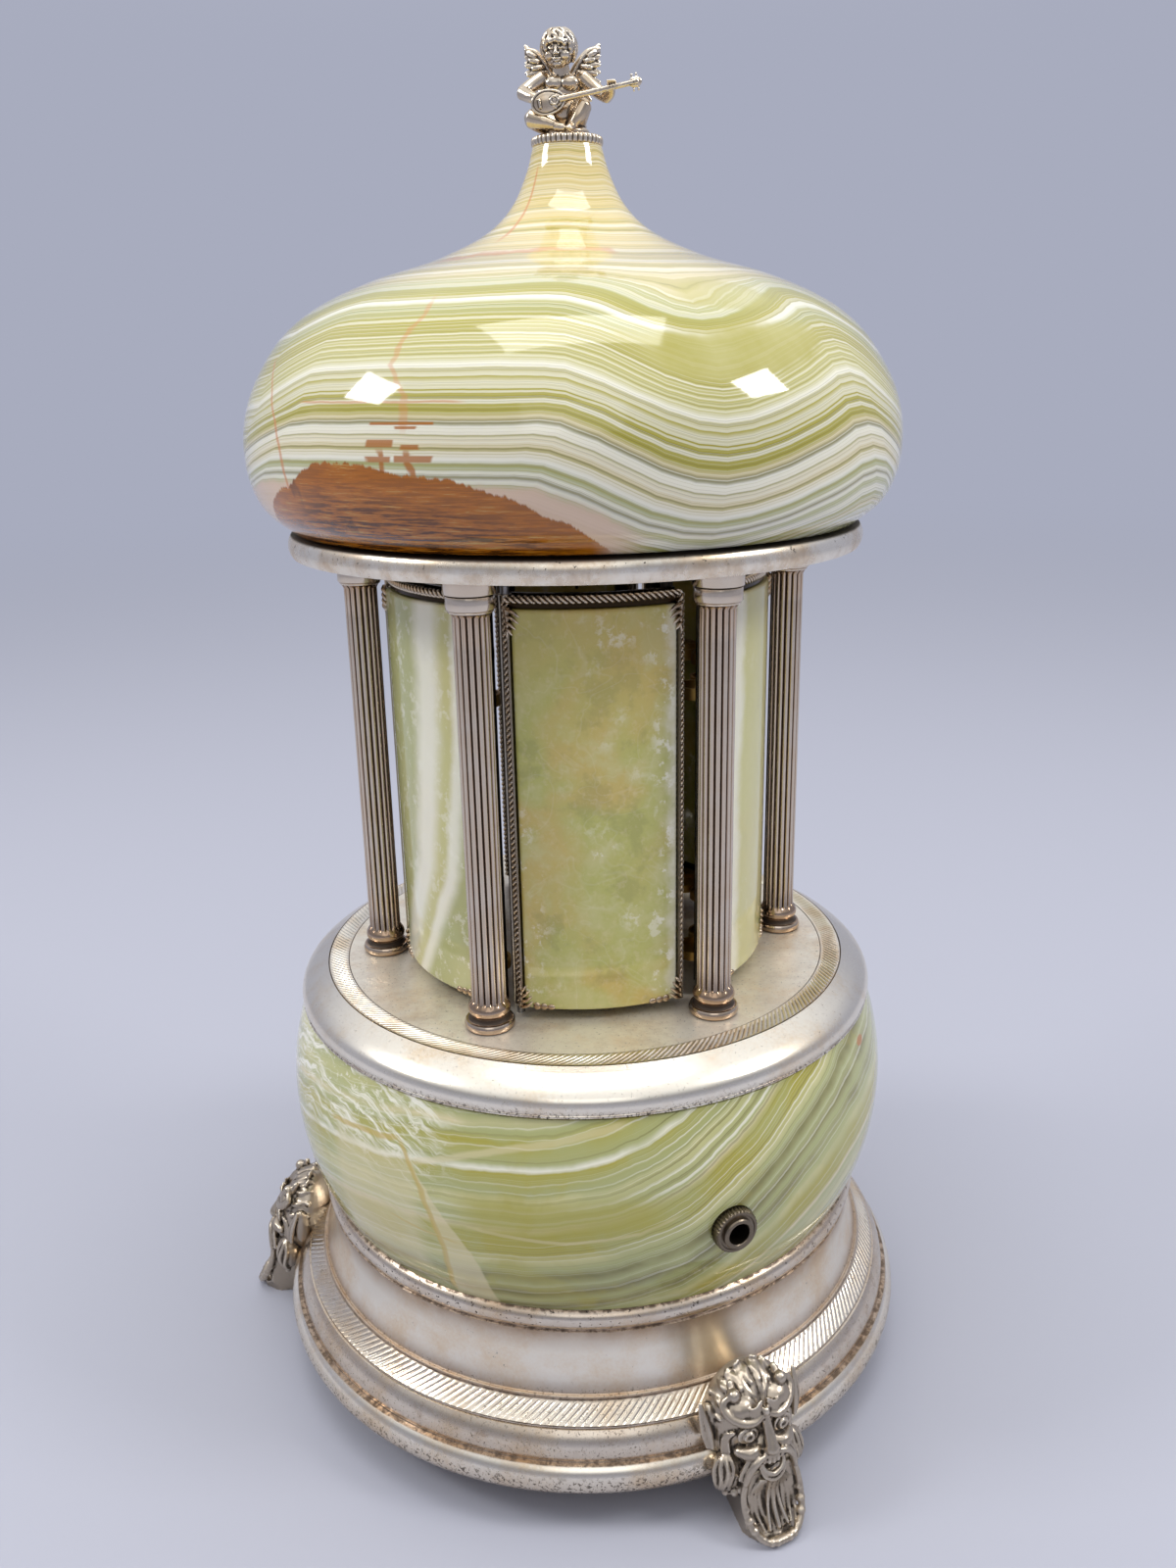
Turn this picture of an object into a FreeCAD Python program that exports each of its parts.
"""Music box cigar holder: an onyx and silvered brass temple that opens six doors as it is turned.

Millimetres, +Z up, origin on the table under the turning axis. The viewer stands on the -Y side.
An azimuth is counted in degrees from the front (-Y), positive towards the viewer's right (+X).
"""
import FreeCAD
import Part
import math
import os

V = FreeCAD.Vector

# Heights of the stack, from the table up, and the circle of the door panels
foot_height = 9.4
moulding_height = 45.3
drum_height = 55.3
turning_gap = 0.4
rim_height = 9.7
column_height = 112.1
disc_thickness = 5.4
seat_height = 0.8
dome_height = 86.8
gallery_height = 2.2
panel_radius = 50.0

# Base moulding, spun in silvered brass
base_radius = 91.2
bead_radius = 5.5
bead_top_angle = 50.0
band_foot_radius = base_radius - 3.2
band_foot_rise = 9.9
hatch_outer_radius = base_radius - 5.9
hatch_outer_rise = 16.9
hatch_inner_radius = base_radius - 10.9
hatch_inner_rise = 21.6
cove_foot_radius = base_radius - 11.4
cove_foot_rise = 22.6
cove_middle_radius = base_radius - 14.0
cove_middle_rise = 31.0
collar_foot_radius = base_radius - 13.8
collar_foot_rise = 39.6
collar_bulge_radius = base_radius - 13.1
collar_bulge_rise = 42.4
collar_top_radius = base_radius - 14.8
sheet_wall = 1.9
slope_wall = 2.5
lip_inner_radius = collar_top_radius - 6.4
lip_thickness = 2.0
flange_inner_radius = base_radius - 17.2
flange_thickness = 2.0

# Onyx drum
drum_bulge_radius = collar_top_radius + 7.5
drum_bulge_rise = 32.0
drum_top_radius = collar_top_radius + 2.8
drum_cavity_radius = collar_top_radius - 10.4
ledge_width = 4.0
ledge_depth = 12.0

# Bottom cover with the well for the winding key
cover_thickness = 1.5
cover_edge_gap = 0.4
well_radius = 17.0
well_top_rise = 10.4
screw_head_height = 1.3
small_screw_radius = 1.2
small_head_radius = 2.0
cover_screw_inset = 3.0

# Mask feet
foot_count = 3
foot_azimuth = 25.5
foot_block_inset = 6.0
toe_radius = base_radius + 15.3
toe_width = 16.6
heel_width = 13.0
toe_thickness = 2.6
chin_radius = base_radius + 6.8
chin_height = 18.0
foot_screw_inset = 3.8
foot_screw_depth = 5.0
throat_reach = 2.6
throat_share = 0.42
trough_depth = 1.5
trough_radius = 6.2
trough_inset = 2.0
ridge_radius = 1.1
scallop_count = 4
scallop_radius = 1.9

# The face of a mask: places are across, out and up from the middle of its head
head_rise = 7.3
head_half_width = 12.6
head_depth = 9.2
head_half_height = 15.5
mask_radius = base_radius - 0.8
horn_place = (6.8, -0.6, 12.1)
horn_radius = 2.3
ear_root = (11.6, -1.2, -2.4)
ear_tip = (14.6, -2.4, 10.4)
ear_root_radius = 2.2
ear_tip_radius = 0.9
brow_inner = (1.4, 8.0, 3.6)
brow_outer = (9.4, 4.2, 8.0)
brow_inner_radius = 1.2
brow_outer_radius = 1.6
eye_place = (4.9, 7.3, 1.8)
eye_radius = 2.0
cheek_place = (4.6, 7.2, -3.3)
cheek_size = (3.5, 3.0, 2.7)
nose_bridge = (0.0, 8.2, 4.4)
nose_tip = (0.0, 10.0, -0.8)
nose_bridge_radius = 1.1
nose_tip_radius = 1.9
whisker_inner = (0.8, 9.2, -4.8)
whisker_outer = (7.6, 6.4, -6.2)
whisker_radius = 1.4
mouth_place = (0.0, 9.8, -7.6)
mouth_size = (3.2, 3.6, 1.7)
lip_end = (3.2, 9.0, -9.6)
lip_radius = 1.2
curl_place = (9.4, 4.2, -10.4)
curl_radius = 3.1

# Bush through the drum wall
bush_azimuth = 24.0
bush_rise = 23.3
bush_outer_radius = 4.0
bush_bore_radius = 2.8
bush_reach = 4.2
bush_tail = 1.0
ring_nut_radius = 5.7
ring_nut_thickness = 3.2
knurl_count = 36
knurl_depth = 0.35
lock_nut_radius = 6.6
lock_nut_thickness = 3.4
spotface_depth = 0.5
spotface_margin = 0.25

# Bearer plate, spindle and fixed sun wheel
bearer_thickness = 2.0
bearer_radius_gap = 0.3
spindle_radius = 6.0
journal_radius = 5.0
collar_radius = 9.5
collar_height = 4.0
washer_thickness = 1.0
spindle_nut_thickness = 4.0
running_clearance = 0.06
gear_thickness = 4.0
sun_teeth = 48
sector_gear_teeth = 24
sector_teeth = 8
teeth_before_mesh = 2
addendum_share = 0.80
dedendum_share = 1.15
tooth_share = 0.34
tooth_tip_share = 0.20
tooth_root_share = 0.44
sector_lift = 0.6
sector_hub_radius = 4.2
sector_hub_height = 2.0

# Carousel plate
plate_radius = drum_top_radius + 0.7
plate_lip_radius = drum_top_radius + 0.2
plate_bulge_rise = 3.0
plate_shoulder_radius = drum_top_radius - 2.9
plate_shoulder_drop = 3.2
hatch_ring_radius = drum_top_radius - 7.0
plate_thickness = 2.6
rim_wall = 3.0
hub_radius = 10.0
hub_bore_depth = 0.6
boss_radius = 3.6
boss_height = 7.0

# Columns
column_count = 6
column_azimuth = -25.2
column_circle = panel_radius + 6.3
shaft_radius = 4.3
base_ring_radius = 6.3
base_ring_height = 2.2
scotia_radius = 4.65
upper_ring_radius = 5.3
upper_ring_foot = 4.0
upper_ring_top = 6.2
ring_roundness = 0.3
shaft_foot_slope = 0.6
capital_height = 8.7
capital_ring_radius = 5.3
capital_ring_height = 0.8
lower_tier_radius = 5.7
lower_tier_height = 3.1
tier_groove_radius = 5.1
tier_groove_height = 0.4
upper_tier_radius = 6.1
flute_count = 14
flute_radius = 0.62
flute_margin = 2.4
spigot_radius = 2.5
spigot_length = 3.0
column_screw_radius = 2.0
column_screw_head_radius = 3.6
column_screw_head_height = 3.0
column_screw_length = 8.0

# Upper disc and dome
disc_radius = 73.0
disc_edge_radius = 1.6
seat_radius = 66.0
dome_foot_radius = 71.4
neck_radius = 8.3
bolt_radius = 3.0
bolt_point_length = 4.0
bolt_tip_radius = 0.2
bolt_below_disc = 8.1
dome_nut_radius = 6.0
dome_nut_thickness = 4.0
gallery_radius = 8.8
gallery_edge = 0.8

# The seated child of the finial: places are right, away from the viewer and up from the seat
finial_base_radius = 5.4
finial_base_height = 1.6
torso_place = (-0.8, 0.4, 7.6)
torso_size = (5.0, 3.8, 7.4)
head_place = (-1.4, -0.8, 18.7)
head_radius = 4.5
right_shoulder, right_elbow, right_hand = (4.0, 0.2, 12.6), (9.4, -2.2, 8.2), (10.3, -6.2, 9.4)
left_shoulder, left_elbow, left_hand = (-5.4, 0.2, 12.6), (-10.4, -2.6, 9.2), (-3.4, -6.4, 6.6)
left_hip, left_knee, left_foot = (-3.0, -0.4, 2.6), (-8.4, -5.2, 3.2), (-2.4, -6.9, 1.4)
right_hip, right_knee, right_foot = (1.6, -0.4, 2.6), (4.0, -5.6, 6.2), (0.8, -6.7, 1.4)
shoulder_radius, elbow_radius, hand_radius = 1.7, 1.4, 1.2
hip_radius, knee_radius, foot_radius = 2.5, 1.9, 1.3
mandolin_place = (-4.2, -6.0, 6.4)
mandolin_size = (4.4, 1.6, 3.0)
mandolin_neck = ((-1.0, -6.4, 7.4), (17.0, -6.4, 10.6))
mandolin_neck_radius = 0.9
headstock_size = (3.2, 1.2, 2.4)
headstock_lap = 2.2
wing_root, wing_tip = (1.2, 8.6), (8.2, 19.6)
wing_front, wing_back = (3.4, 16.6), (8.4, 11.6)
wing_place = (-0.8, 2.6)
wing_thickness = 1.4

# Doors: curved onyx panels in rope frames, hung on rods at their left edge
panel_thickness = 4.5
panel_half_angle = 22.8
panel_bevel = 1.0
door_floor_gap = 2.6
door_head_gap = 5.8
rope_radius = 1.0
rope_circle = panel_radius - 1.4
rope_angle = 24.5
top_rail_gap = 2.2
frame_thickness = 1.2
frame_half_angle = 25.2
frame_opening_angle = 19.5
frame_rail_height = 7.0
hinge_circle = panel_radius - 2.8
hinge_angle = 25.4
rod_radius = 1.1
sleeve_radius = 1.7
rod_entry = 2.6
corner_leaf_height = 7.5
corner_leaf_angle = 3.4
corner_leaf_thickness = 0.6
web_half_angle = 0.7
panel_gap = 0.3
panel_gap_angle = 0.35
bite = 0.2
overcut = 1.0

# Cigar racks inside the doors
cigars_per_door = 3
cigar_pitch = 10.4
cigar_line = panel_radius - 13.0
loop_bore_radius = 4.3
loop_wall = 0.7
loop_height = 3.0
loop_rise = 74.0
shelf_rise = 3.4
shelf_thickness = 2.4
cup_depth = 1.0
rack_half_angle = 21.0

# Stop posts behind the closing edges
post_radius = 1.5
post_gap = 0.3
post_angle = 24.8

# Music movement
bedplate_length = 70.0
bedplate_width = 50.0
bedplate_thickness = 3.0
bedplate_left = 20.0
bedplate_front = 30.0
bedplate_rise = 13.4
spacer_radius = 3.5
spacer_inset = 4.0
movement_screw_radius = 1.5
movement_head_radius = 2.8
barrel_radius = 13.0
barrel_height = 8.0
crown_width = 2.5
crown_height = 2.0
small_gap = 0.3
arbor_radius = 2.0
key_wing_length = 12.0
key_wing_height = 8.0
key_thickness = 2.4
key_floor_gap = 1.6
key_hub_radius = 3.2
cylinder_wheel_radius = 8.0
wheel_thickness = 1.8
cylinder_radius = 6.5
cylinder_length = 28.0
cylinder_pivot_radius = 1.5
bracket_thickness = 1.6
bracket_width = 9.0
comb_teeth = 18
comb_pitch = 1.5
comb_slot = 0.35
comb_thickness = 1.3
comb_depth = 20.0
comb_tooth_length = 12.0
comb_screw_radius = 1.4
governor_wheel_radius = 9.0
worm_radius = 2.0
worm_height = 28.5
worm_pivot_radius = 1.0
arm_overhang = 3.0
arm_width = 7.0
fan_radius = 8.0
fan_height = 8.0
fan_thickness = 0.8

# Levels worked out from the stack
drum_bottom = foot_height + moulding_height
drum_top = drum_bottom + drum_height
rim_bottom = drum_top + turning_gap
plate_top = rim_bottom + rim_height
disc_bottom = plate_top + column_height
disc_top = disc_bottom + disc_thickness
dome_bottom = disc_top + seat_height
dome_top = dome_bottom + dome_height
bearer_bottom = drum_top - ledge_depth
bearer_top = bearer_bottom + bearer_thickness
gear_top = bearer_top + gear_thickness
plate_underside = plate_top - plate_thickness
hub_bottom = gear_top + collar_height + washer_thickness
door_azimuth = column_azimuth + 180.0 / column_count
door_bottom = plate_top + door_floor_gap
door_top = disc_bottom - door_head_gap
panel_top = door_top - top_rail_gap - rope_radius
rope_top = door_top - rope_radius
frame_radius = panel_radius - panel_thickness
gear_module = 2.0 * hinge_circle / (sun_teeth + sector_gear_teeth)
bedplate_bottom = foot_height + bedplate_rise
bedplate_top = bedplate_bottom + bedplate_thickness
barrel_top = bedplate_top + small_gap + barrel_height
crown_top = barrel_top + crown_height
cylinder_height = crown_top + small_gap + cylinder_wheel_radius
cover_bottom = foot_height - cover_thickness


def polar(radius, azimuth, height=0.0):
    """The point at a radius, azimuth and height."""
    angle = math.radians(azimuth)
    return V(radius * math.sin(angle), -radius * math.cos(angle), height)


def turned(shape, azimuth):
    """A copy of a shape turned about the main axis."""
    copy = shape.copy()
    copy.rotate(V(0, 0, 0), V(0, 0, 1), azimuth)
    return copy


def ring_of(shape, count, first=0.0):
    """Copies of a shape spaced evenly round the main axis."""
    return [turned(shape, first + 360.0 * index / count) for index in range(count)]


def outline(start, *steps):
    """A closed wire in (radius, height): a step is a point, or the middle and end of an arc."""
    edges = []
    here = V(start[0], 0, start[1])
    for step in steps + (start,):
        if isinstance(step[0], tuple):
            middle, end = (V(point[0], 0, point[1]) for point in step)
            edges.append(Part.Arc(here, middle, end).toShape())
        else:
            end = V(step[0], 0, step[1])
            edges.append(Part.LineSegment(here, end).toShape())
        here = end
    return Part.Wire(edges)


def revolved(wire, angle=360.0):
    """The solid that a profile sweeps about the main axis."""
    return Part.Face(wire).revolve(V(0, 0, 0), V(0, 0, 1), angle)


def rod(radius, bottom, top, centre=V(0, 0, 0)):
    """An upright cylinder between two heights."""
    return Part.makeCylinder(radius, top - bottom, V(centre.x, centre.y, bottom))


def tube(outer, inner, bottom, top, centre=V(0, 0, 0)):
    """An upright tube between two heights."""
    return rod(outer, bottom, top, centre).cut(rod(inner, bottom, top, centre))


def arc_slab(inner, outer, half_angle, bottom, top):
    """A slab between two radii, across an angle about the front."""
    wire = outline((inner, bottom), (outer, bottom), (outer, top), (inner, top))
    slab = revolved(wire, 2.0 * half_angle)
    slab.rotate(V(0, 0, 0), V(0, 0, 1), -90.0 - half_angle)
    return slab


def shifted_slab(inner, outer, azimuth, half_angle, bottom, top):
    """A slab between two radii, across an angle about an azimuth."""
    return turned(arc_slab(inner, outer, half_angle, bottom, top), azimuth)


def spheroid(centre, across, deep, high):
    """An egg with its three half sizes along X, Y and Z."""
    scale = FreeCAD.Matrix()
    scale.scale(across, deep, high)
    egg = Part.makeSphere(1.0).transformGeometry(scale)
    egg.translate(centre)
    return egg


def limb(start, end, start_radius, end_radius):
    """A tapered limb with round ends."""
    path = end - start
    if start_radius == end_radius:
        shaft = Part.makeCylinder(start_radius, path.Length, start, path)
    else:
        shaft = Part.makeCone(start_radius, end_radius, path.Length, start, path)
    return shaft.fuse([Part.makeSphere(start_radius, start), Part.makeSphere(end_radius, end)])


def hexagon_prism(radius, bottom, top):
    """An upright hexagonal nut body, by the radius over its corners."""
    corners = [V(radius * math.cos(math.radians(60 * k)), radius * math.sin(math.radians(60 * k)), bottom)
               for k in range(7)]
    return Part.Face(Part.makePolygon(corners)).extrude(V(0, 0, top - bottom))


def laid_out(shape, azimuth, height):
    """A shape built along +Z from zero, laid along the outward direction at an azimuth and height."""
    copy = shape.copy()
    copy.rotate(V(0, 0, 0), V(1, 0, 0), 90.0)
    copy.translate(V(0, 0, height))
    return turned(copy, azimuth)


def moulding_outer():
    """The steps of the base moulding's outer profile, from the flange up to the drum joint."""
    low = foot_height
    bead_centre = base_radius - bead_radius
    end = math.radians(bead_top_angle)
    bead_end = (bead_centre + bead_radius * math.cos(end), low + bead_radius * (1 + math.sin(end)))
    return [
        (bead_centre, low),
        ((base_radius, low + bead_radius), bead_end),
        (band_foot_radius, low + band_foot_rise),
        (hatch_outer_radius, low + hatch_outer_rise),
        (hatch_inner_radius, low + hatch_inner_rise),
        (cove_foot_radius, low + cove_foot_rise),
        ((cove_middle_radius, low + cove_middle_rise), (collar_foot_radius, low + collar_foot_rise)),
        ((collar_bulge_radius, low + collar_bulge_rise), (collar_top_radius, drum_bottom)),
    ]


def moulding_envelope():
    """The moulding's outer form as one full solid, to seat the masks against."""
    return revolved(outline((0.0, foot_height), *moulding_outer(), (0.0, drum_bottom)))


def base_moulding():
    """The stepped base ring, with an inward flange that the feet and cover screw to."""
    low = foot_height
    floor = low + flange_thickness
    inner = [
        (lip_inner_radius, drum_bottom),
        (lip_inner_radius, drum_bottom - lip_thickness),
        (collar_foot_radius - sheet_wall, drum_bottom - lip_thickness),
        (cove_middle_radius - sheet_wall, low + cove_middle_rise),
        (cove_foot_radius - slope_wall, low + hatch_inner_rise),
        (hatch_outer_radius - slope_wall, low + hatch_outer_rise - sheet_wall),
        (band_foot_radius - sheet_wall, low + band_foot_rise),
        (base_radius - bead_radius, floor),
        (flange_inner_radius, floor),
    ]
    shell = revolved(outline((flange_inner_radius, low), *moulding_outer(), *inner))
    holes = ring_of(foot_screw_at(small_screw_radius), foot_count, foot_azimuth)
    holes += ring_of(cover_screw_at(small_screw_radius), foot_count, cover_screw_azimuth())
    return shell.cut(holes)


def foot_screw_circle():
    """The radius where the foot screws stand."""
    return base_radius - bead_radius - foot_screw_inset


def foot_screw_at(radius):
    """A foot screw's shank at the front, through the flange into the foot."""
    spot = polar(foot_screw_circle(), 0)
    return rod(radius, foot_height - foot_screw_depth, foot_height + flange_thickness, spot)


def cover_screw_at(radius):
    """A cover screw's shank at the front, up through the cover and the flange."""
    spot = polar(flange_inner_radius + cover_screw_inset, 0)
    return rod(radius, cover_bottom, foot_height + flange_thickness, spot)


def base_screws():
    """The screws of the feet, headed on the flange inside, and of the cover, headed below it."""
    flange_top = foot_height + flange_thickness
    foot_head = rod(small_head_radius, flange_top, flange_top + screw_head_height,
                    polar(foot_screw_circle(), 0))
    cover_head = rod(small_head_radius, cover_bottom - screw_head_height, cover_bottom,
                     polar(flange_inner_radius + cover_screw_inset, 0))
    foot_screw = foot_screw_at(small_screw_radius).fuse(foot_head)
    cover_screw = cover_screw_at(small_screw_radius).fuse(cover_head)
    return Part.makeCompound(ring_of(foot_screw, foot_count, foot_azimuth)
                             + ring_of(cover_screw, foot_count, cover_screw_azimuth()))


def cover_screw_azimuth():
    """The azimuth of the first cover screw, midway between two feet."""
    return foot_azimuth + 180.0 / foot_count


def bottom_cover():
    """The cover under the base, raised in the middle over the winding key."""
    edge = foot_block_radius() - cover_edge_gap
    top = foot_height + well_top_rise
    inner_well = well_radius - cover_thickness
    dish = revolved(outline(
        (0.0, top - cover_thickness), (inner_well, top - cover_thickness), (inner_well, cover_bottom),
        (edge, cover_bottom), (edge, foot_height), (well_radius, foot_height), (well_radius, top),
        (0.0, top)))
    spots = movement_screw_spots()
    spacers = [rod(spacer_radius, foot_height, bedplate_bottom, spot) for spot in spots]
    holes = [rod(movement_screw_radius, cover_bottom, bedplate_bottom, spot) for spot in spots]
    holes += ring_of(cover_screw_at(small_screw_radius), foot_count, cover_screw_azimuth())
    holes.append(rod(arbor_radius + running_clearance, foot_height, top))
    return dish.fuse(spacers).cut(holes)


def foot_block_radius():
    """Where the foot's heel starts under the flange."""
    return base_radius - bead_radius - foot_block_inset


def foot_tongue():
    """The beard that flares out into the toe: a trough with a ridge, a scalloped rim and the flat sole."""
    heel = -foot_block_radius()
    toe_start = -toe_radius + toe_thickness
    side = Part.Wire([
        Part.LineSegment(V(0, heel, chin_height), V(0, heel, 0)).toShape(),
        Part.LineSegment(V(0, heel, 0), V(0, toe_start, 0)).toShape(),
        Part.Arc(V(0, toe_start, 0), V(0, -toe_radius, toe_thickness / 2),
                 V(0, toe_start, toe_thickness)).toShape(),
        Part.Arc(V(0, toe_start, toe_thickness),
                 V(0, -chin_radius - throat_reach, chin_height * throat_share),
                 V(0, -chin_radius, chin_height)).toShape(),
        Part.LineSegment(V(0, -chin_radius, chin_height), V(0, heel, chin_height)).toShape(),
    ])
    slab = Part.Face(side).extrude(V(toe_width, 0, 0))
    slab.translate(V(-toe_width / 2, 0, 0))
    half_heel = heel_width / 2
    half_toe = toe_width / 2
    shoulder = -toe_radius + half_toe
    plan = Part.Wire([
        Part.LineSegment(V(-half_heel, heel, 0), V(half_heel, heel, 0)).toShape(),
        Part.LineSegment(V(half_heel, heel, 0), V(half_toe, shoulder, 0)).toShape(),
        Part.Arc(V(half_toe, shoulder, 0), V(0, -toe_radius, 0), V(-half_toe, shoulder, 0)).toShape(),
        Part.LineSegment(V(-half_toe, shoulder, 0), V(-half_heel, heel, 0)).toShape(),
    ])
    tongue = slab.common(Part.Face(plan).extrude(V(0, 0, chin_height)))
    lift = trough_radius - trough_depth
    throat = V(0, -chin_radius - throat_reach - lift, chin_height * throat_share + lift)
    mouth = V(0, -chin_radius - lift, chin_height + lift)
    toe = V(0, toe_start - trough_inset, toe_thickness + lift)
    trough = [limb(start, end, trough_radius, trough_radius)
              for start, end in ((mouth, throat), (throat, toe))]
    ridge = limb(V(0, -chin_radius, chin_height), V(0, toe_start + trough_inset, toe_thickness / 2),
                 ridge_radius, ridge_radius)
    return tongue.cut(trough + beard_scallops()).fuse(ridge)


def beard_scallops():
    """The notches between the locks along the beard's two edges."""
    low, high = toe_thickness + scallop_radius, chin_height - scallop_radius
    notches = []
    for index in range(scallop_count):
        rise = low + (high - low) * index / (scallop_count - 1)
        for side in (-1, 1):
            path = V(0, -1, 0)
            start = V(side * (toe_width / 2 + scallop_radius / 2), -foot_block_radius(), rise)
            notches.append(Part.makeCylinder(scallop_radius, toe_radius, start, path))
    return notches


def on_mask(place, side=1):
    """A point of the mask at the front, from its place across, out and up from the head's middle."""
    across, out, up = place
    return V(side * across, -mask_radius - out, chin_height + head_rise + up)


def foot_mask():
    """One horned and bearded mask at the front: it hugs the moulding and ends in the toe."""
    pieces = [
        foot_tongue(),
        limb(on_mask(nose_bridge), on_mask(nose_tip), nose_bridge_radius, nose_tip_radius),
        limb(on_mask(lip_end, -1), on_mask(lip_end, 1), lip_radius, lip_radius),
    ]
    for side in (-1, 1):
        pieces += [
            Part.makeSphere(horn_radius, on_mask(horn_place, side)),
            limb(on_mask(ear_root, side), on_mask(ear_tip, side), ear_root_radius, ear_tip_radius),
            limb(on_mask(brow_inner, side), on_mask(brow_outer, side),
                 brow_inner_radius, brow_outer_radius),
            Part.makeSphere(eye_radius, on_mask(eye_place, side)),
            spheroid(on_mask(cheek_place, side), *cheek_size),
            limb(on_mask(whisker_inner, side), on_mask(whisker_outer, side),
                 whisker_radius, whisker_radius),
            Part.makeSphere(curl_radius, on_mask(curl_place, side)),
        ]
    head = spheroid(on_mask((0.0, 0.0, 0.0)), head_half_width, head_depth, head_half_height)
    mouth = spheroid(on_mask(mouth_place), *mouth_size)
    return head.fuse(pieces).cut([mouth, moulding_envelope(), foot_screw_at(small_screw_radius)])


def drum_wall_radius(height):
    """The drum's outer radius at a height, from its three named circles."""
    low, high = (collar_top_radius, drum_bottom), (drum_top_radius, drum_top)
    bulge = (drum_bulge_radius, drum_bottom + drum_bulge_rise)
    centre, radius = circle_through(low, bulge, high)
    return centre[0] + math.sqrt(radius ** 2 - (height - centre[1]) ** 2)


def circle_through(first, second, third):
    """The centre and radius of the circle through three points."""
    (ax, ay), (bx, by), (cx, cy) = first, second, third
    turn = 2.0 * (ax * (by - cy) + bx * (cy - ay) + cx * (ay - by))
    a2, b2, c2 = ax * ax + ay * ay, bx * bx + by * by, cx * cx + cy * cy
    x = (a2 * (by - cy) + b2 * (cy - ay) + c2 * (ay - by)) / turn
    y = (a2 * (cx - bx) + b2 * (ax - cx) + c2 * (bx - ax)) / turn
    return (x, y), math.hypot(ax - x, ay - y)


def base_drum():
    """The hollow onyx drum, with a ledge for the bearer plate and the bush hole."""
    upper_cavity = drum_cavity_radius + ledge_width
    wall = revolved(outline(
        (drum_cavity_radius, drum_bottom), (collar_top_radius, drum_bottom),
        ((drum_bulge_radius, drum_bottom + drum_bulge_rise), (drum_top_radius, drum_top)),
        (upper_cavity, drum_top), (upper_cavity, bearer_bottom), (drum_cavity_radius, bearer_bottom)))
    face, reach = ring_nut_face(), drum_bulge_radius + ring_nut_thickness
    hole = rod(bush_outer_radius, 0, reach)
    spot = rod(ring_nut_radius + spotface_margin, face, reach)
    return wall.cut([laid_out(form, bush_azimuth, drum_bottom + bush_rise) for form in (hole, spot)])


def ring_nut_face():
    """The radius of the flat that the knurled nut bears on."""
    return drum_wall_radius(drum_bottom + bush_rise) - spotface_depth


def bush():
    """The threaded tube through the drum wall."""
    end = ring_nut_face() + bush_reach
    start = lock_nut_seat() - lock_nut_thickness - bush_tail
    body = tube(bush_outer_radius, bush_bore_radius, start, end)
    return laid_out(body, bush_azimuth, drum_bottom + bush_rise)


def knurled_ring_nut():
    """The outer nut of the bush, with a grooved rim."""
    face = ring_nut_face()
    nut = tube(ring_nut_radius, bush_outer_radius, face, face + ring_nut_thickness)
    groove = rod(knurl_depth, face, face + ring_nut_thickness, V(ring_nut_radius, 0, 0))
    return laid_out(nut.cut(ring_of(groove, knurl_count)), bush_azimuth, drum_bottom + bush_rise)


def lock_nut_seat():
    """Where the flat inner nut touches the round cavity wall."""
    return math.sqrt(drum_cavity_radius ** 2 - lock_nut_radius ** 2)


def bush_lock_nut():
    """The hexagonal nut on the bush inside the drum."""
    seat = lock_nut_seat()
    nut = hexagon_prism(lock_nut_radius, seat - lock_nut_thickness, seat)
    nut = nut.cut(rod(bush_outer_radius, seat - lock_nut_thickness, seat))
    return laid_out(nut, bush_azimuth, drum_bottom + bush_rise)


def bearer_plate():
    """The round plate on the drum's ledge that carries the spindle."""
    edge = drum_cavity_radius + ledge_width - bearer_radius_gap
    return tube(edge, spindle_radius, bearer_bottom, bearer_top)


def tooth(pitch_radius, teeth, outward):
    """One straight-sided gear tooth, as points from its root up over its tip."""
    pitch = math.pi * gear_module
    sizes = [
        (-dedendum_share, -tooth_root_share), (0.0, -tooth_share), (addendum_share, -tooth_tip_share),
        (addendum_share, tooth_tip_share), (0.0, tooth_share), (-dedendum_share, tooth_root_share)]
    points = []
    for rise, half in sizes:
        radius = pitch_radius + rise * gear_module
        angle = outward + math.degrees(half * pitch / 2.0 / radius)
        points.append(V(radius * math.cos(math.radians(angle)), radius * math.sin(math.radians(angle)), 0))
    return points


def toothed_disc(teeth, count, first_angle, bottom, top):
    """A gear blank with teeth from a first angle on, counted anticlockwise from +X."""
    pitch_radius = gear_module * teeth / 2.0
    step = 360.0 / teeth
    points = []
    for index in range(count):
        points += tooth(pitch_radius, teeth, first_angle + index * step)
    if count < teeth:
        points.append(V(0, 0, 0))
    face = Part.Face(Part.makePolygon(points + [points[0]]))
    gear = face.extrude(V(0, 0, top - bottom))
    gear.translate(V(0, 0, bottom))
    return gear


def hinge_azimuth():
    """The azimuth of the first door's hinge rod."""
    return door_azimuth - hinge_angle


def sun_wheel():
    """The fixed toothed wheel that the doors' sectors roll on."""
    gear = toothed_disc(sun_teeth, sun_teeth, hinge_azimuth() - 90.0, bearer_top, gear_top)
    return gear.cut(rod(spindle_radius, bearer_top, gear_top))


def spindle():
    """The fixed post on the main axis: a collar holds the sun wheel, a journal carries the carousel."""
    journal_top = plate_underside + hub_bore_depth - small_gap
    body = rod(spindle_radius, bearer_bottom - spindle_nut_thickness, gear_top)
    nut = hexagon_prism(collar_radius, bearer_bottom - spindle_nut_thickness, bearer_bottom)
    collar = rod(collar_radius, gear_top, gear_top + collar_height)
    journal = rod(journal_radius, gear_top + collar_height, journal_top)
    return body.fuse([nut, collar, journal])


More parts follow.
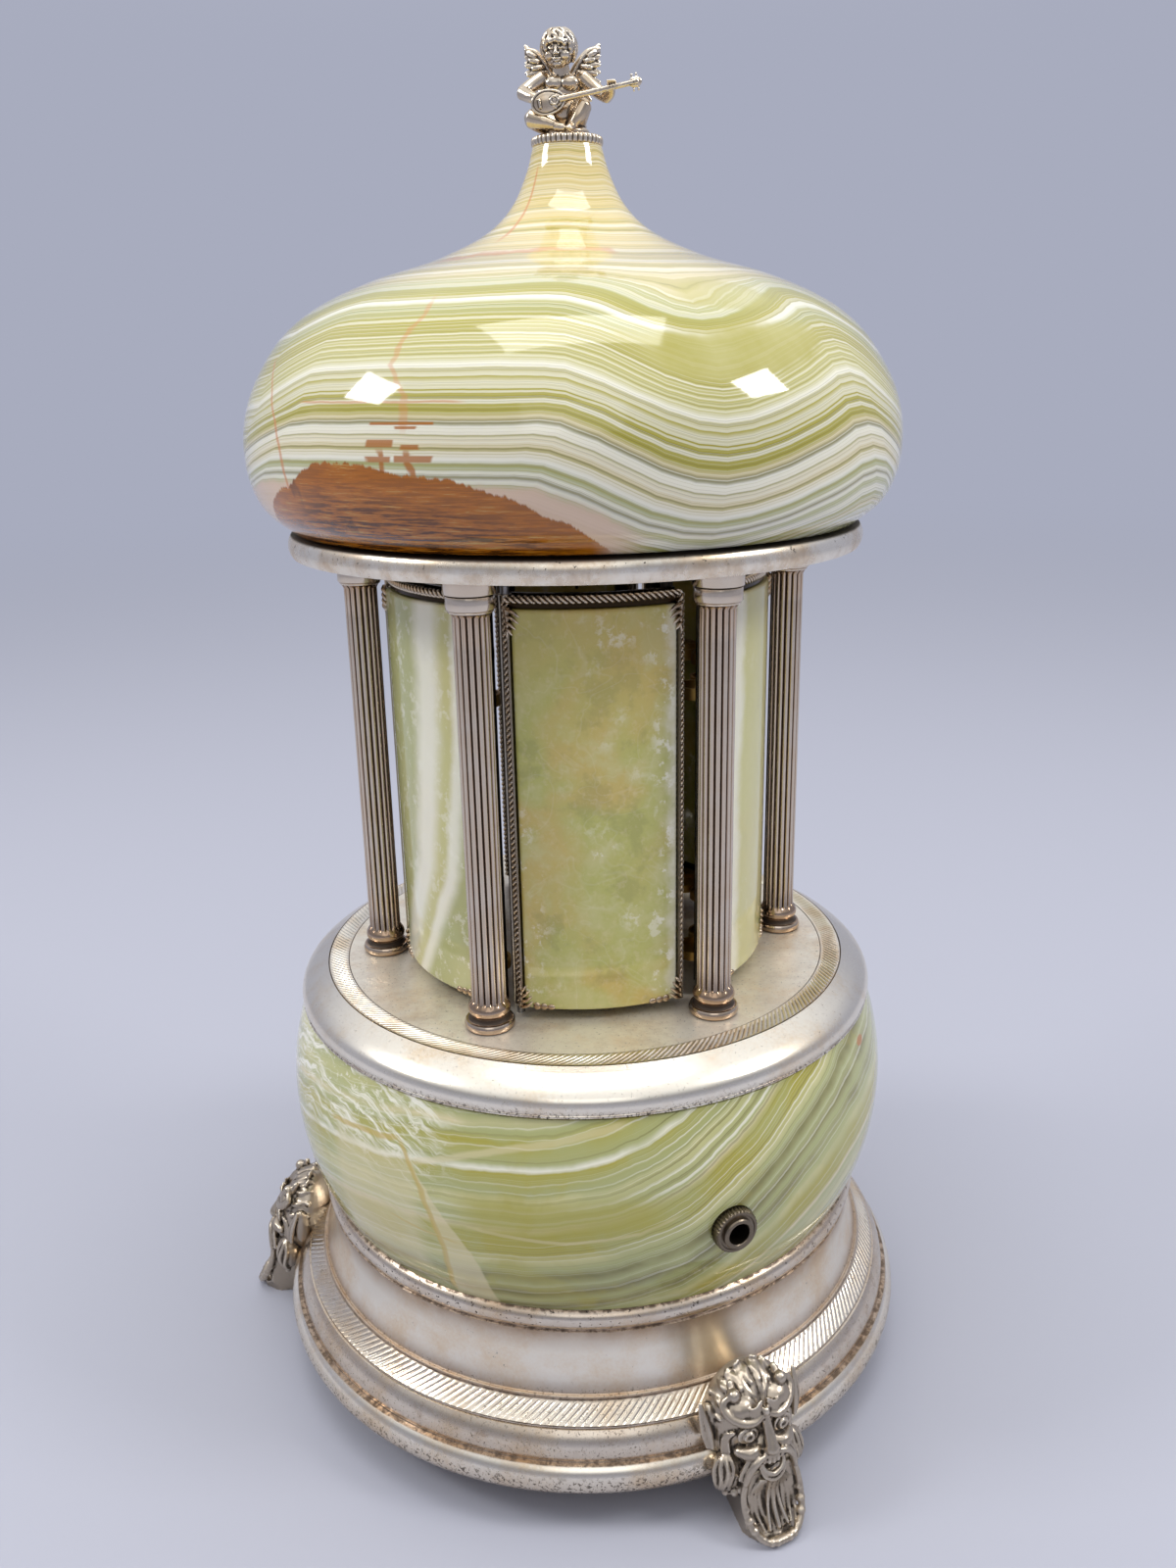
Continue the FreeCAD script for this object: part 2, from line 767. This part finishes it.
def thrust_washer():
    """The washer that the carousel turns on."""
    low = gear_top + collar_height
    high = low + washer_thickness - running_clearance
    return tube(collar_radius, journal_radius + running_clearance, low, high)


def carousel_plate():
    """The turning plate with its moulded rim, hub and rod bosses."""
    inner = plate_lip_radius - rim_wall
    body = revolved(outline(
        (0.0, hub_bottom), (hub_radius, hub_bottom), (hub_radius, plate_underside),
        (hatch_ring_radius - rim_wall, plate_underside), (inner, rim_bottom),
        (plate_lip_radius, rim_bottom),
        ((plate_radius, rim_bottom + plate_bulge_rise),
         (plate_shoulder_radius, plate_top - plate_shoulder_drop)),
        (hatch_ring_radius, plate_top), (0.0, plate_top)))
    boss = rod(boss_radius, plate_underside - boss_height, plate_underside, polar(hinge_circle, 0))
    bore = rod(rod_radius + running_clearance, plate_underside - boss_height, plate_top,
               polar(hinge_circle, 0))
    screw = rod(column_screw_radius, plate_underside, plate_top, polar(column_circle, 0))
    post = rod(post_radius, plate_underside, plate_top, polar(post_circle(), 0))
    cuts = ring_of(bore, column_count, hinge_azimuth()) + ring_of(screw, column_count, column_azimuth)
    cuts += ring_of(post, column_count, door_azimuth + post_angle)
    cuts.append(rod(journal_radius + running_clearance, hub_bottom, plate_underside + hub_bore_depth))
    return body.fuse(ring_of(boss, column_count, hinge_azimuth())).cut(cuts)


def column():
    """One fluted column at the front, from the plate to the disc, with a spigot on top."""
    low = plate_top
    cap = disc_bottom - capital_height
    lower_foot = cap + capital_ring_height
    groove_foot = lower_foot + lower_tier_height
    upper_foot = groove_foot + tier_groove_height
    soft = ring_roundness
    body = revolved(outline(
        (0.0, low), (base_ring_radius - soft, low),
        ((base_ring_radius, low + base_ring_height / 2), (base_ring_radius - soft, low + base_ring_height)),
        ((scotia_radius, low + (base_ring_height + upper_ring_foot) / 2),
         (upper_ring_radius - soft, low + upper_ring_foot)),
        ((upper_ring_radius, low + (upper_ring_foot + upper_ring_top) / 2),
         (upper_ring_radius - soft, low + upper_ring_top)),
        (shaft_radius, low + upper_ring_top + shaft_foot_slope), (shaft_radius, cap),
        (capital_ring_radius - soft, cap),
        ((capital_ring_radius, (cap + lower_foot) / 2), (capital_ring_radius - soft, lower_foot)),
        (lower_tier_radius, lower_foot), (lower_tier_radius, groove_foot),
        (tier_groove_radius, groove_foot), (tier_groove_radius, upper_foot),
        (upper_tier_radius, upper_foot), (upper_tier_radius, disc_bottom),
        (spigot_radius, disc_bottom), (spigot_radius, disc_bottom + spigot_length),
        (0.0, disc_bottom + spigot_length)))
    flute_low = low + upper_ring_top + flute_margin
    flute = rod(flute_radius, flute_low, cap - flute_margin, V(shaft_radius, 0, 0))
    body = body.cut(ring_of(flute, flute_count))
    body = body.cut(rod(column_screw_radius, low, low + column_screw_length))
    body.translate(polar(column_circle, 0))
    return body


def column_screws():
    """Six screws up through the plate into the columns."""
    spot = polar(column_circle, 0)
    head_low = plate_underside - column_screw_head_height
    head = rod(column_screw_head_radius, head_low, plate_underside, spot)
    shank = rod(column_screw_radius, plate_underside, plate_top + column_screw_length, spot)
    return Part.makeCompound(ring_of(head.fuse(shank), column_count, column_azimuth))


def post_circle():
    """The radius of the stop posts, just behind the closed door frames."""
    return frame_radius - frame_thickness - post_gap - post_radius


def stop_posts():
    """Six slim posts that the doors close against, from the plate into the disc."""
    post = rod(post_radius, plate_underside, disc_bottom, polar(post_circle(), 0))
    return Part.makeCompound(ring_of(post, column_count, door_azimuth + post_angle))


def upper_disc():
    """The disc over the columns, with a raised seat for the dome."""
    low, high, edge = disc_bottom, disc_top, disc_edge_radius
    soft = edge * (1.0 - math.sqrt(0.5))
    body = revolved(outline(
        (0.0, low), (disc_radius - edge, low),
        ((disc_radius - soft, low + soft), (disc_radius, low + edge)), (disc_radius, high - edge),
        ((disc_radius - soft, high - soft), (disc_radius - edge, high)),
        (seat_radius, high), (seat_radius, dome_bottom), (0.0, dome_bottom)))
    spigot = rod(spigot_radius, low, low + spigot_length, polar(column_circle, 0))
    socket = rod(rod_radius + running_clearance, low, low + rod_entry + small_gap, polar(hinge_circle, 0))
    cuts = ring_of(spigot, column_count, column_azimuth) + ring_of(socket, column_count, hinge_azimuth())
    return body.cut(cuts + [rod(bolt_radius, low, dome_bottom)])


def dome_outline():
    """The onion's half outline, from the foot to the neck, as stations of radius and rise."""
    return [
        (dome_foot_radius, 0.0), (77.6, 5.3), (80.6, 11.8), (81.4, 18.6), (80.9, 25.0), (78.6, 32.4),
        (72.9, 41.9), (68.2, 46.9), (61.2, 51.7), (49.3, 56.9), (32.4, 62.1), (19.7, 68.2), (13.6, 74.1),
        (9.8, 81.7), (neck_radius, dome_height)]


def dome():
    """The onion dome, turned from one block of onyx and bored for the bolt."""
    stations = [V(radius, 0, dome_bottom + rise) for radius, rise in dome_outline()]
    curve = Part.BSplineCurve()
    curve.interpolate(stations)
    foot, neck = stations[0], stations[-1]
    inner_neck, inner_foot = V(bolt_radius, 0, neck.z), V(bolt_radius, 0, foot.z)
    wire = Part.Wire([
        curve.toShape(),
        Part.LineSegment(neck, inner_neck).toShape(),
        Part.LineSegment(inner_neck, inner_foot).toShape(),
        Part.LineSegment(inner_foot, foot).toShape(),
    ])
    return revolved(wire)


def dome_bolt():
    """The long bolt on the axis, pointed below the disc, that ties the finial, dome and disc."""
    low = disc_bottom - bolt_below_disc - bolt_point_length
    point = Part.makeCone(bolt_tip_radius, bolt_radius, bolt_point_length, V(0, 0, low))
    return point.fuse(rod(bolt_radius, low + bolt_point_length, dome_top + gallery_height))


def dome_nut():
    """The hexagonal nut under the disc."""
    low = disc_bottom - dome_nut_thickness
    nut = hexagon_prism(dome_nut_radius, low, disc_bottom)
    return nut.cut(rod(bolt_radius, low, disc_bottom))


def gallery_ring():
    """The ring under the finial, a rounded band."""
    low, high = dome_top, dome_top + gallery_height
    return revolved(outline(
        (bolt_radius, low), (gallery_radius - gallery_edge, low),
        ((gallery_radius, (low + high) / 2), (gallery_radius - gallery_edge, high)), (bolt_radius, high)))


def on_seat(place):
    """A point of the finial, from its place right, away and up from the middle of the seat."""
    right, away, up = place
    return V(right, away, dome_top + gallery_height + up)


def bent_limb(first, second, third, first_radius, second_radius, third_radius):
    """An arm or a leg: two tapered limbs that meet at the elbow or the knee."""
    middle = on_seat(second)
    return [limb(on_seat(first), middle, first_radius, second_radius),
            limb(middle, on_seat(third), second_radius, third_radius)]


def cherub_finial():
    """A seated winged child that plays a mandolin."""
    seat = dome_top + gallery_height
    neck_start, neck_end = (on_seat(place) for place in mandolin_neck)
    pieces = [
        Part.makeSphere(head_radius, on_seat(head_place)),
        rod(finial_base_radius, seat, seat + finial_base_height),
        spheroid(on_seat(mandolin_place), *mandolin_size),
        limb(neck_start, neck_end, mandolin_neck_radius, mandolin_neck_radius),
        headstock(neck_end),
    ]
    for shoulder, elbow, hand in ((right_shoulder, right_elbow, right_hand),
                                  (left_shoulder, left_elbow, left_hand)):
        pieces += bent_limb(shoulder, elbow, hand, shoulder_radius, elbow_radius, hand_radius)
    for hip, knee, foot in ((left_hip, left_knee, left_foot), (right_hip, right_knee, right_foot)):
        pieces += bent_limb(hip, knee, foot, hip_radius, knee_radius, foot_radius)
    pieces += [cherub_wing(side) for side in (-1, 1)]
    return spheroid(on_seat(torso_place), *torso_size).fuse(pieces)


def headstock(end):
    """The flat head of the mandolin's neck."""
    long, deep, high = headstock_size
    return Part.makeBox(long, deep, high, V(end.x - headstock_lap, end.y - deep / 2, end.z - high / 2))


def cherub_wing(side):
    """One raised wing behind a shoulder."""
    root, tip, front, back = (on_seat((side * across, 0.0, up))
                              for across, up in (wing_root, wing_tip, wing_front, wing_back))
    wire = Part.Wire([Part.Arc(root, front, tip).toShape(), Part.Arc(tip, back, root).toShape()])
    wing = Part.Face(wire).extrude(V(0, wing_thickness, 0))
    wing.translate(V(*wing_place, 0))
    return wing


def hinge_spot():
    """The hinge axis of the door at the front."""
    return polar(hinge_circle, -hinge_angle)


def door_frame():
    """A door's frame at the front: plate, rope border, leaf corners and hinge sleeve."""
    inner = frame_radius - frame_thickness
    plate = arc_slab(inner, frame_radius, frame_half_angle, door_bottom, door_top)
    window = arc_slab(inner - overcut, frame_radius + overcut, frame_opening_angle,
                      door_bottom + frame_rail_height, door_top - frame_rail_height)
    rail_low = panel_top + panel_gap
    pieces = [rope_rail(), arc_slab(frame_radius - bite, rope_circle, rope_angle, rail_low, rope_top)]
    for side in (-1, 1):
        pieces.append(rod(rope_radius, door_bottom, rope_top, polar(rope_circle, side * rope_angle)))
        pieces.append(shifted_slab(frame_radius - bite, rope_circle, side * rope_angle, web_half_angle,
                                   door_bottom, rope_top))
        for low in (door_bottom, rail_low - corner_leaf_height):
            pieces += corner_leaf(side, low)
    pieces.append(rod(sleeve_radius, door_bottom, door_top, hinge_spot()))
    frame = plate.cut(window).fuse(pieces)
    return frame.cut(rod(rod_radius, door_bottom, door_top, hinge_spot()))


def rope_rail():
    """The roped rail over the panel, a curved bar."""
    section = Part.Wire(Part.makeCircle(rope_radius, V(rope_circle, 0, rope_top), V(0, 1, 0)))
    rail = revolved(section, 2.0 * rope_angle)
    rail.rotate(V(0, 0, 0), V(0, 0, 1), -90.0 - rope_angle)
    return rail


def corner_leaf(side, low):
    """A leaf that wraps one corner of the panel, standing on a web beside it."""
    face = panel_radius + corner_leaf_thickness
    middle = side * (panel_half_angle + panel_gap_angle)
    return [
        shifted_slab(panel_radius, face, middle, corner_leaf_angle / 2.0, low, low + corner_leaf_height),
        shifted_slab(frame_radius - bite, face, side * (rope_angle - panel_gap_angle), web_half_angle,
                     low, low + corner_leaf_height),
    ]


def door_panel():
    """The curved onyx slab of a door at the front, with bevelled edges."""
    half = panel_half_angle
    lean = math.degrees(panel_bevel / panel_radius)
    body = arc_slab(frame_radius, panel_radius - panel_bevel, half, door_bottom, panel_top)
    crown = arc_slab(panel_radius - panel_bevel, panel_radius, half - lean,
                     door_bottom + panel_bevel, panel_top - panel_bevel)
    return body.fuse(crown)


def door_gear():
    """A door's hinge rod at the front, with the toothed sector on its foot."""
    low, high = bearer_top + sector_lift, gear_top
    step = 360.0 / sector_gear_teeth
    inward = 90.0 - hinge_angle
    first = inward + step * (0.5 - teeth_before_mesh)
    sector = toothed_disc(sector_gear_teeth, sector_teeth, first, low, high)
    sector.translate(V(hinge_spot().x, hinge_spot().y, 0))
    hub = rod(sector_hub_radius, low, high + sector_hub_height, hinge_spot())
    shaft = rod(rod_radius, low, disc_bottom + rod_entry, hinge_spot())
    return sector.fuse([hub, shaft])


def cigar_spots():
    """The centres of the cigars behind the door at the front."""
    middle = (cigars_per_door - 1) / 2.0
    return [V((index - middle) * cigar_pitch, -cigar_line, 0) for index in range(cigars_per_door)]


def cigar_rack():
    """The rack inside a door: a shelf with cups below and a bar of loops above."""
    shelf_low = door_bottom + shelf_rise
    loop_low = door_bottom + loop_rise
    shelf = rack_bar(shelf_low, shelf_low + shelf_thickness)
    cups = [rod(loop_bore_radius, shelf_low + shelf_thickness - cup_depth, loop_low, spot)
            for spot in cigar_spots()]
    bar = rack_bar(loop_low, loop_low + loop_height)
    loops = [rod(loop_bore_radius, loop_low, loop_low + loop_height, spot) for spot in cigar_spots()]
    return Part.makeCompound([shelf.cut(cups), bar.cut(loops)])


def rack_bar(low, high):
    """A bar on the back of the frame, with a round pad at each cigar."""
    back = arc_slab(cigar_line + loop_bore_radius - bite, frame_radius - frame_thickness,
                    rack_half_angle, low, high)
    return back.fuse([rod(loop_bore_radius + loop_wall, low, high, spot) for spot in cigar_spots()])


def movement_screw_spots():
    """The four screws that hold the movement to the cover."""
    left = -bedplate_left + spacer_inset
    right = bedplate_length - bedplate_left - spacer_inset
    front = -bedplate_front + spacer_inset
    back = bedplate_width - bedplate_front - spacer_inset
    return [V(x, y, 0) for x in (left, right) for y in (front, back)]


def front_bracket_start():
    """Where the cylinder's first bracket starts along X, just clear of the barrel."""
    return barrel_radius + 2.0 * small_gap


def cylinder_start():
    """Where the pinned cylinder's body starts along X."""
    return front_bracket_start() + bracket_thickness + small_gap


def rear_bracket_start():
    """Where the cylinder's second bracket starts along X."""
    return cylinder_start() + cylinder_length + small_gap


def cylinder_wheel_start():
    """Where the cylinder's wheel starts along X, over the barrel's crown."""
    return barrel_radius - crown_width / 2.0 - wheel_thickness / 2.0


def governor_wheel_start():
    """Where the governor's wheel starts along X, behind the second bracket."""
    return rear_bracket_start() + bracket_thickness + small_gap


def along_x(radius, start, length):
    """A cylinder on the music cylinder's axis."""
    return Part.makeCylinder(radius, length, V(start, 0, cylinder_height), V(1, 0, 0))


def bedplate():
    """The movement's bedplate, with the cylinder's brackets, the comb's riser and the governor's arm."""
    plate = Part.makeBox(bedplate_length, bedplate_width, bedplate_thickness,
                         V(-bedplate_left, -bedplate_front, bedplate_bottom))
    bracket_top = cylinder_height + bracket_width / 2.0
    brackets = [Part.makeBox(bracket_thickness, bracket_width, bracket_top - bedplate_top,
                             V(start, -bracket_width / 2.0, bedplate_top))
                for start in (front_bracket_start(), rear_bracket_start())]
    riser = Part.makeBox(comb_width(), comb_depth - comb_tooth_length, comb_low() - bedplate_top,
                         V(cylinder_start(), comb_back(), bedplate_top))
    holes = [rod(movement_screw_radius, bedplate_bottom, bedplate_top, spot)
             for spot in movement_screw_spots()]
    holes += [rod(comb_screw_radius, bedplate_top, comb_low(), spot) for spot in comb_screw_spots()]
    holes.append(rod(arbor_radius + running_clearance, bedplate_bottom, bedplate_top))
    holes.append(along_x(cylinder_pivot_radius + running_clearance, 0, bedplate_length))
    holes.append(rod(worm_pivot_radius + running_clearance, bedplate_bottom, arm_low() + bracket_thickness,
                     governor_spot()))
    return plate.fuse(brackets + governor_arm() + [riser]).cut(holes)


def arm_low():
    """The underside of the arm over the governor."""
    return bedplate_top + worm_height + fan_height + 2.0 * small_gap


def governor_arm():
    """The post and arm that hold the governor's upper pivot."""
    spot = governor_spot()
    post_start = spot.x - fan_radius - arm_overhang - bracket_thickness
    front = spot.y - arm_width / 2.0
    return [
        Part.makeBox(bracket_thickness, arm_width, arm_low() - bedplate_top,
                     V(post_start, front, bedplate_top)),
        Part.makeBox(spot.x + arm_overhang - post_start, arm_width, bracket_thickness,
                     V(post_start, front, arm_low())),
    ]


def comb_width():
    """The comb's length along the cylinder."""
    return comb_teeth * comb_pitch


def comb_low():
    """The underside of the comb, level with the cylinder's axis."""
    return cylinder_height - comb_thickness / 2


def comb_back():
    """The comb's rear edge along Y."""
    return -cylinder_radius - small_gap - comb_depth


def comb():
    """The steel comb, its teeth reaching to the cylinder."""
    plate = Part.makeBox(comb_width(), comb_depth, comb_thickness,
                         V(cylinder_start(), comb_back(), comb_low()))
    tooth_start = comb_back() + comb_depth - comb_tooth_length
    slots = [Part.makeBox(comb_slot, comb_tooth_length, comb_thickness,
                          V(cylinder_start() + index * comb_pitch - comb_slot / 2, tooth_start, comb_low()))
             for index in range(1, comb_teeth)]
    holes = [rod(comb_screw_radius, comb_low(), comb_low() + comb_thickness, spot)
             for spot in comb_screw_spots()]
    return plate.cut(slots + holes)


def comb_screw_spots():
    """The two screws of the comb."""
    y = comb_back() + (comb_depth - comb_tooth_length) / 2
    return [V(cylinder_start() + comb_width() * share, y, 0) for share in (0.25, 0.75)]


def movement_screws():
    """The screws of the movement: four from below the cover and two in the comb."""
    screws = []
    for spot in movement_screw_spots():
        head = rod(movement_head_radius, cover_bottom - screw_head_height, cover_bottom, spot)
        screws.append(head.fuse(rod(movement_screw_radius, cover_bottom, bedplate_top, spot)))
    comb_top = comb_low() + comb_thickness
    for spot in comb_screw_spots():
        head = rod(movement_head_radius, comb_top, comb_top + screw_head_height, spot)
        screws.append(head.fuse(rod(comb_screw_radius, bedplate_top, comb_top, spot)))
    return Part.makeCompound(screws)


def winding_key():
    """The winding key under the base, with the arbor that it turns inside the barrel."""
    low = key_floor_gap
    hub_top = foot_height + well_top_rise - cover_thickness - small_gap
    wings = Part.makeBox(2 * key_wing_length, key_thickness, key_wing_height,
                         V(-key_wing_length, -key_thickness / 2, low))
    hub = rod(key_hub_radius, low, hub_top)
    arbor = rod(arbor_radius, hub_top, barrel_top)
    return wings.fuse([hub, arbor])


def spring_barrel():
    """The mainspring's barrel, with the crown that drives the cylinder."""
    low = bedplate_top + small_gap
    body = tube(barrel_radius, arbor_radius + running_clearance, low, barrel_top)
    crown = tube(barrel_radius, barrel_radius - crown_width, barrel_top, crown_top)
    return body.fuse(crown)


def music_cylinder():
    """The pinned cylinder on its pivots, with its wheel and the wheel that drives the governor."""
    wheel_end = governor_wheel_start() + wheel_thickness
    shaft = along_x(cylinder_pivot_radius, cylinder_wheel_start(), wheel_end - cylinder_wheel_start())
    wheels = [along_x(cylinder_wheel_radius, cylinder_wheel_start(), wheel_thickness),
              along_x(governor_wheel_radius, governor_wheel_start(), wheel_thickness)]
    return along_x(cylinder_radius, cylinder_start(), cylinder_length).fuse([shaft] + wheels)


def governor_spot():
    """The upright governor's place beside its wheel."""
    return V(governor_wheel_start() + wheel_thickness / 2.0,
             governor_wheel_radius + small_gap + worm_radius, 0)


def governor():
    """The worm and air fan that keep the tune's speed."""
    spot = governor_spot()
    low = bedplate_top + small_gap
    fan_low = low + worm_height
    fan = Part.makeBox(2.0 * fan_radius, fan_thickness, fan_height,
                       V(spot.x - fan_radius, spot.y - fan_thickness / 2.0, fan_low))
    pivots = rod(worm_pivot_radius, bedplate_bottom, arm_low() + bracket_thickness, spot)
    return rod(worm_radius, low, fan_low, spot).fuse([fan, pivots])


def all_parts():
    """Every piece under its node name."""
    parts = {
        "base_moulding": base_moulding(), "base_drum": base_drum(), "bottom_cover": bottom_cover(),
        "base_screws": base_screws(), "drum_bush": bush(),
        "knurled_ring_nut": knurled_ring_nut(), "bush_lock_nut": bush_lock_nut(),
        "bearer_plate": bearer_plate(), "sun_wheel": sun_wheel(), "spindle": spindle(),
        "thrust_washer": thrust_washer(), "carousel_plate": carousel_plate(),
        "column_screws": column_screws(), "stop_posts": stop_posts(), "upper_disc": upper_disc(),
        "dome": dome(), "dome_bolt": dome_bolt(), "dome_nut": dome_nut(), "gallery_ring": gallery_ring(),
        "cherub_finial": cherub_finial(), "bedplate": bedplate(), "comb": comb(),
        "movement_screws": movement_screws(), "winding_key": winding_key(),
        "spring_barrel": spring_barrel(), "music_cylinder": music_cylinder(), "governor": governor(),
    }
    for number, mask in enumerate(ring_of(foot_mask(), foot_count, foot_azimuth), 1):
        parts[f"foot_mask_{number}"] = mask
    for number, shape in enumerate(ring_of(column(), column_count, column_azimuth), 1):
        parts[f"column_{number}"] = shape
    for name, shape in (("frame", door_frame()), ("panel", door_panel()), ("gear", door_gear()),
                        ("rack", cigar_rack())):
        for number, copy in enumerate(ring_of(shape, column_count, door_azimuth), 1):
            parts[f"door_{name}_{number}"] = copy
    return parts


os.makedirs("parts", exist_ok=True)
for name, shape in all_parts().items():
    shape.exportStep(os.path.join("parts", f"{name}.step"))
